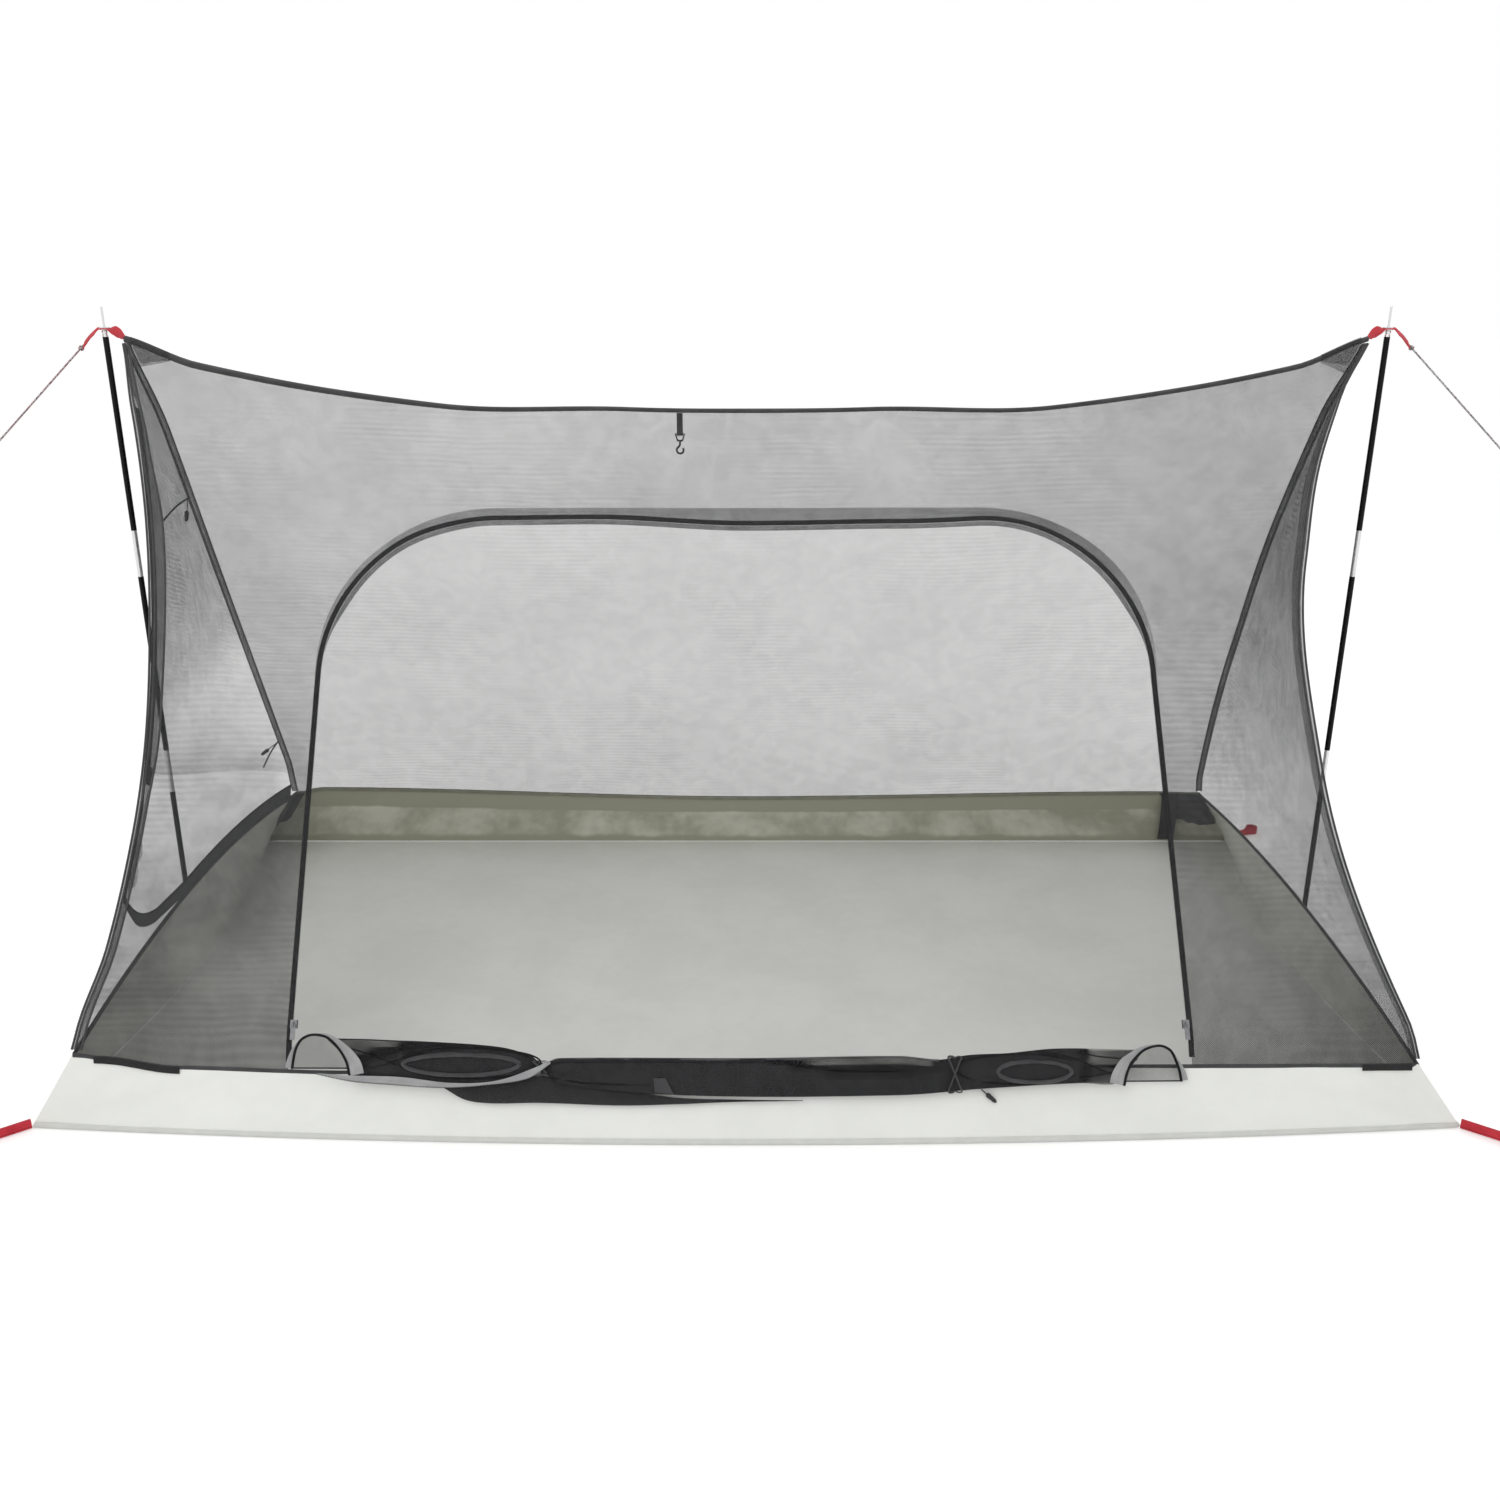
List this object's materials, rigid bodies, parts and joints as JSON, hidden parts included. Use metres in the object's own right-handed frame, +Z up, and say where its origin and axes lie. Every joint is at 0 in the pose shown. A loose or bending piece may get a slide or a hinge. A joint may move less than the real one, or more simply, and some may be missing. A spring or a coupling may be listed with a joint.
{
  "type": "inner tent",
  "caption": "Mesh ridge inner tent with a coated tub floor, a D-shaped front door folded down at the sill, a zipped end door and upright sectioned poles with guylines",
  "frame": {"origin": "on the ground under the middle of the floor", "axes": "+X along the ridge, the open front door faces -Y, +Z up"},
  "size_m": [2.6426, 1.2498, 1.192],
  "materials": {
    "bright_steel": "bare steel, satin",
    "black_tape": "woven tape, matte",
    "red_webbing": "woven webbing, matte",
    "grey_tape": "woven tape, matte",
    "black_mesh": "fine black insect mesh, matte",
    "coated_cloth": "smooth coated cloth, slight sheen",
    "flecked_cord": "braided cord with coloured flecks",
    "hard_plastic": "moulded plastic",
    "black_paint": "black coating, semi-gloss"
  },
  "bodies": {
    "tent": {"apex_eyelet_left": "bright_steel", "apex_eyelet_right": "bright_steel", "apex_patch_left": "black_tape", "apex_patch_right": "black_tape", "apex_webbing_left": "red_webbing", "apex_webbing_right": "red_webbing", "corner_loop_back_left": "red_webbing", "corner_loop_back_right": "red_webbing", "corner_loop_front_left": "red_webbing", "corner_loop_front_right": "red_webbing", "door_edge_half": "grey_tape", "door_panel_folded": "black_mesh", "door_tie_left": "grey_tape", "door_tie_right": "grey_tape", "door_zip_half": "grey_tape", "end_door_gathered": "black_mesh", "end_door_half": "black_tape", "end_door_mesh": "black_mesh", "end_zip_half": "black_tape", "floor_sheet": "coated_cloth", "guyline_left": "flecked_cord", "guyline_right": "flecked_cord", "lantern_strap": "black_tape", "mesh_back": "black_mesh", "mesh_front": "black_mesh", "mesh_right": "black_mesh", "pocket_strap": "black_tape", "ridge_binding": "black_tape", "rim_binding": "black_tape", "seam_back_left": "black_tape", "seam_back_right": "black_tape", "seam_front_left": "black_tape", "seam_front_right": "black_tape", "sill_toggle": "hard_plastic", "tie_toggle_lower": "hard_plastic", "tie_toggle_upper": "hard_plastic", "tub_wall": "coated_cloth"},
    "door_slider_left": {"door_slider_left": "bright_steel"},
    "door_pull_left": {"door_pull_left": "bright_steel"},
    "door_slider_right": {"door_slider_right": "bright_steel"},
    "door_pull_right": {"door_pull_right": "bright_steel"},
    "end_zip_slider": {"end_zip_slider": "bright_steel"},
    "end_zip_pull": {"end_zip_pull": "bright_steel"},
    "lantern_hook": {"lantern_hook": "hard_plastic"},
    "pole_left_upper": {"pole_tip_left": "bright_steel", "pole_upper_left": "black_paint", "shock_cord_left": "flecked_cord"},
    "pole_left_middle": {"pole_upper_sleeve_left": "bright_steel", "pole_middle_left": "black_paint"},
    "pole_left_lower": {"pole_lower_sleeve_left": "bright_steel", "pole_lower_left": "black_paint", "pole_foot_left": "hard_plastic"},
    "pole_right_upper": {"pole_tip_right": "bright_steel", "pole_upper_right": "black_paint", "shock_cord_right": "flecked_cord"},
    "pole_right_middle": {"pole_upper_sleeve_right": "bright_steel", "pole_middle_right": "black_paint"},
    "pole_right_lower": {"pole_lower_sleeve_right": "bright_steel", "pole_lower_right": "black_paint", "pole_foot_right": "hard_plastic"}
  },
  "joints": [
    {"name": "pole_left_swing", "type": "hinge", "parent": "tent", "child": "pole_left_upper", "pos_m": [-1.055, 0, 1.15], "axis": [0, 1, 0], "range_deg": [0, 12]},
    {"name": "pole_left_middle_pull", "type": "slide", "parent": "pole_left_upper", "child": "pole_left_middle", "axis": [0, 0, -1], "range_m": [0, 0.07], "stiffness_N_per_m": 60, "springref_m": -0.12},
    {"name": "pole_left_lower_pull", "type": "slide", "parent": "pole_left_middle", "child": "pole_left_lower", "axis": [0, 0, -1], "range_m": [0, 0.07], "stiffness_N_per_m": 60, "springref_m": -0.12},
    {"name": "door_slider_left_slide", "type": "slide", "parent": "tent", "child": "door_slider_left", "axis": [0.0189, 0.5008, 0.8654], "range_m": [0, 0.45]},
    {"name": "door_pull_left_swing", "type": "hinge", "parent": "door_slider_left", "child": "door_pull_left", "pos_m": [-0.69031, -0.52819, 0.1641], "axis": [-0.9998, 0.0072, 0.0177], "range_deg": [0, 150]},
    {"name": "pole_right_swing", "type": "hinge", "parent": "tent", "child": "pole_right_upper", "pos_m": [1.055, 0, 1.15], "axis": [0, -1, 0], "range_deg": [0, 12]},
    {"name": "pole_right_middle_pull", "type": "slide", "parent": "pole_right_upper", "child": "pole_right_middle", "axis": [0, 0, -1], "range_m": [0, 0.07], "stiffness_N_per_m": 60, "springref_m": -0.12},
    {"name": "pole_right_lower_pull", "type": "slide", "parent": "pole_right_middle", "child": "pole_right_lower", "axis": [0, 0, -1], "range_m": [0, 0.07], "stiffness_N_per_m": 60, "springref_m": -0.12},
    {"name": "door_slider_right_slide", "type": "slide", "parent": "tent", "child": "door_slider_right", "axis": [-0.0446, 0.5023, 0.8635], "range_m": [0, 0.45]},
    {"name": "door_pull_right_swing", "type": "hinge", "parent": "door_slider_right", "child": "door_pull_right", "pos_m": [0.67138, -0.52812, 0.16404], "axis": [-0.999, -0.0202, -0.0399], "range_deg": [0, 150]},
    {"name": "end_zip_slider_slide", "type": "hinge", "parent": "tent", "child": "end_zip_slider", "pos_m": [-3.00429, -0.45445, 0.71013], "axis": [0.1042, -0.8715, 0.4793], "range_deg": [0, 13.8]},
    {"name": "end_zip_pull_swing", "type": "hinge", "parent": "end_zip_slider", "child": "end_zip_pull", "pos_m": [-0.94111, -0.32433, 0.49901], "axis": [0, -0.8733, 0.4873], "range_deg": [0, 150]},
    {"name": "lantern_hook_swing", "type": "hinge", "parent": "tent", "child": "lantern_hook", "pos_m": [-0.112, 0, 0.98491], "axis": [1, 0, 0], "range_deg": [-60, 60]}
  ]
}
